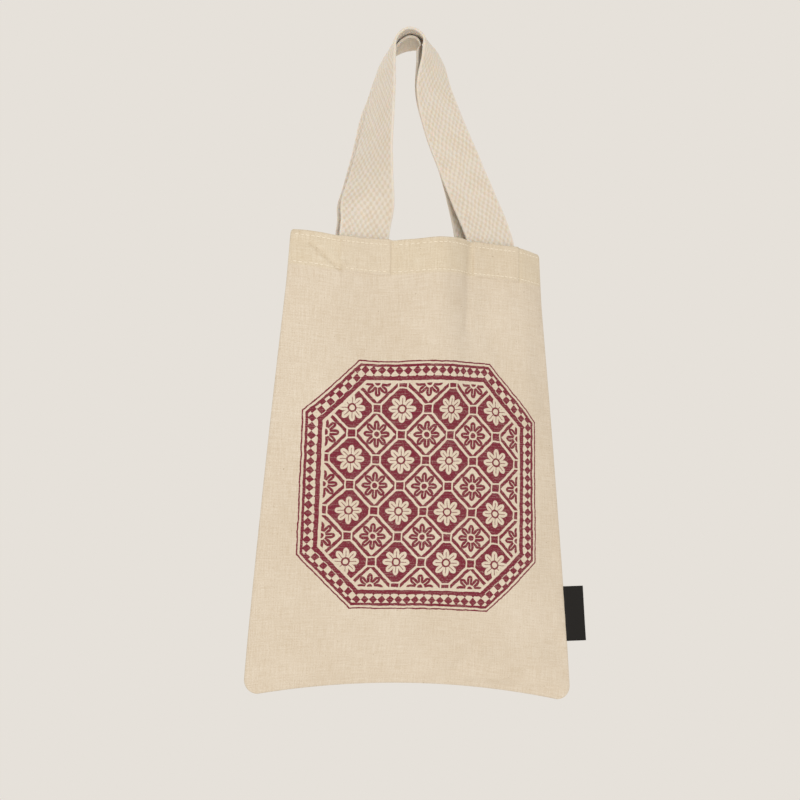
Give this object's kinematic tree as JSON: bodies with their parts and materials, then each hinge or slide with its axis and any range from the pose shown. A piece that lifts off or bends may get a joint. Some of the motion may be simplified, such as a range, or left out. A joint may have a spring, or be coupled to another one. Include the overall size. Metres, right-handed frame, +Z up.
{
  "type": "tote bag",
  "caption": "Flat cotton tote bag hanging by its webbing handles, open at the mouth, with a turned hem, a printed front and a folded label in the side seam; carries small flat goods.",
  "frame": {"origin": "under the bend of the inner handle, at the point where the bag hangs", "axes": "+Z up, +X to the right when facing the front panel, +Y from the front panel to the back panel"},
  "size_m": [0.1985, 0.0538, 0.3787],
  "materials": {
    "cotton": "matte plain weave",
    "webbing": "matte basket weave",
    "ribbon": "matte woven ribbon"
  },
  "bodies": {
    "root": {"front_panel": "cotton", "back_panel": "cotton", "front_handle": "webbing", "back_handle": "webbing", "side_label": "ribbon"}
  },
  "joints": []
}
